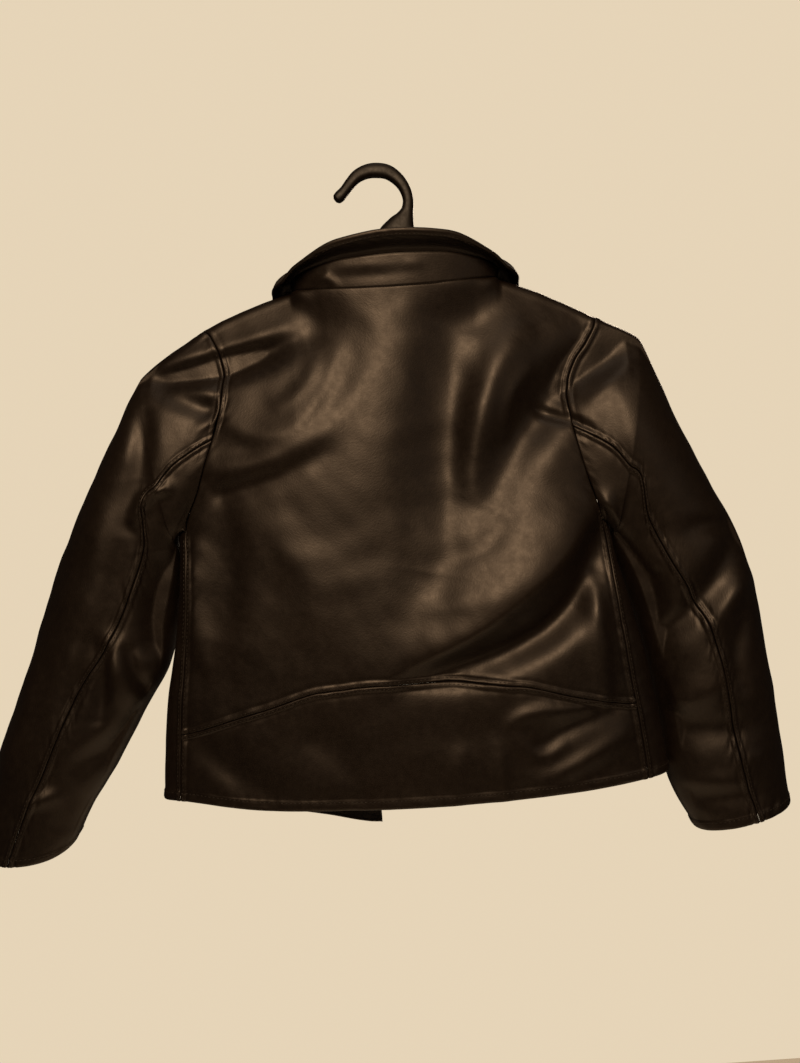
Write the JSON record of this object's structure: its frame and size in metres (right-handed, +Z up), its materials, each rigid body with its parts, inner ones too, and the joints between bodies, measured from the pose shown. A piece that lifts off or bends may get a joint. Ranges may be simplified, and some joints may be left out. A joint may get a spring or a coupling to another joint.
{
  "type": "faux leather biker jacket on a plastic clothes hanger",
  "caption": "Cropped child's biker jacket in black faux leather, hanging open and flat on a moulded plastic hanger with a one-piece hook, collar turned up.",
  "frame": {"origin": "saddle of the hanger's hook, the top of its inner arch, where a rail, hook or nail holds it up", "axes": "+X to the right as the jacket's back is looked at, +Y from the jacket's back to its front, +Z up"},
  "size_m": [0.7029, 0.0931, 0.5875],
  "materials": {
    "faux_leather": "black faux leather, fine grain, satin",
    "hanger_plastic": "black moulded plastic, half gloss",
    "thread": "black polyester sewing thread"
  },
  "bodies": {
    "root": {"hanger": "hanger_plastic", "back_panel": "faux_leather", "back_hem_band": "faux_leather", "front_left": "faux_leather", "front_right": "faux_leather", "collar_stand": "faux_leather", "collar_leaf": "faux_leather", "sleeve_left_top": "faux_leather", "sleeve_left_under": "faux_leather", "sleeve_right_top": "faux_leather", "sleeve_right_under": "faux_leather"}
  },
  "joints": []
}
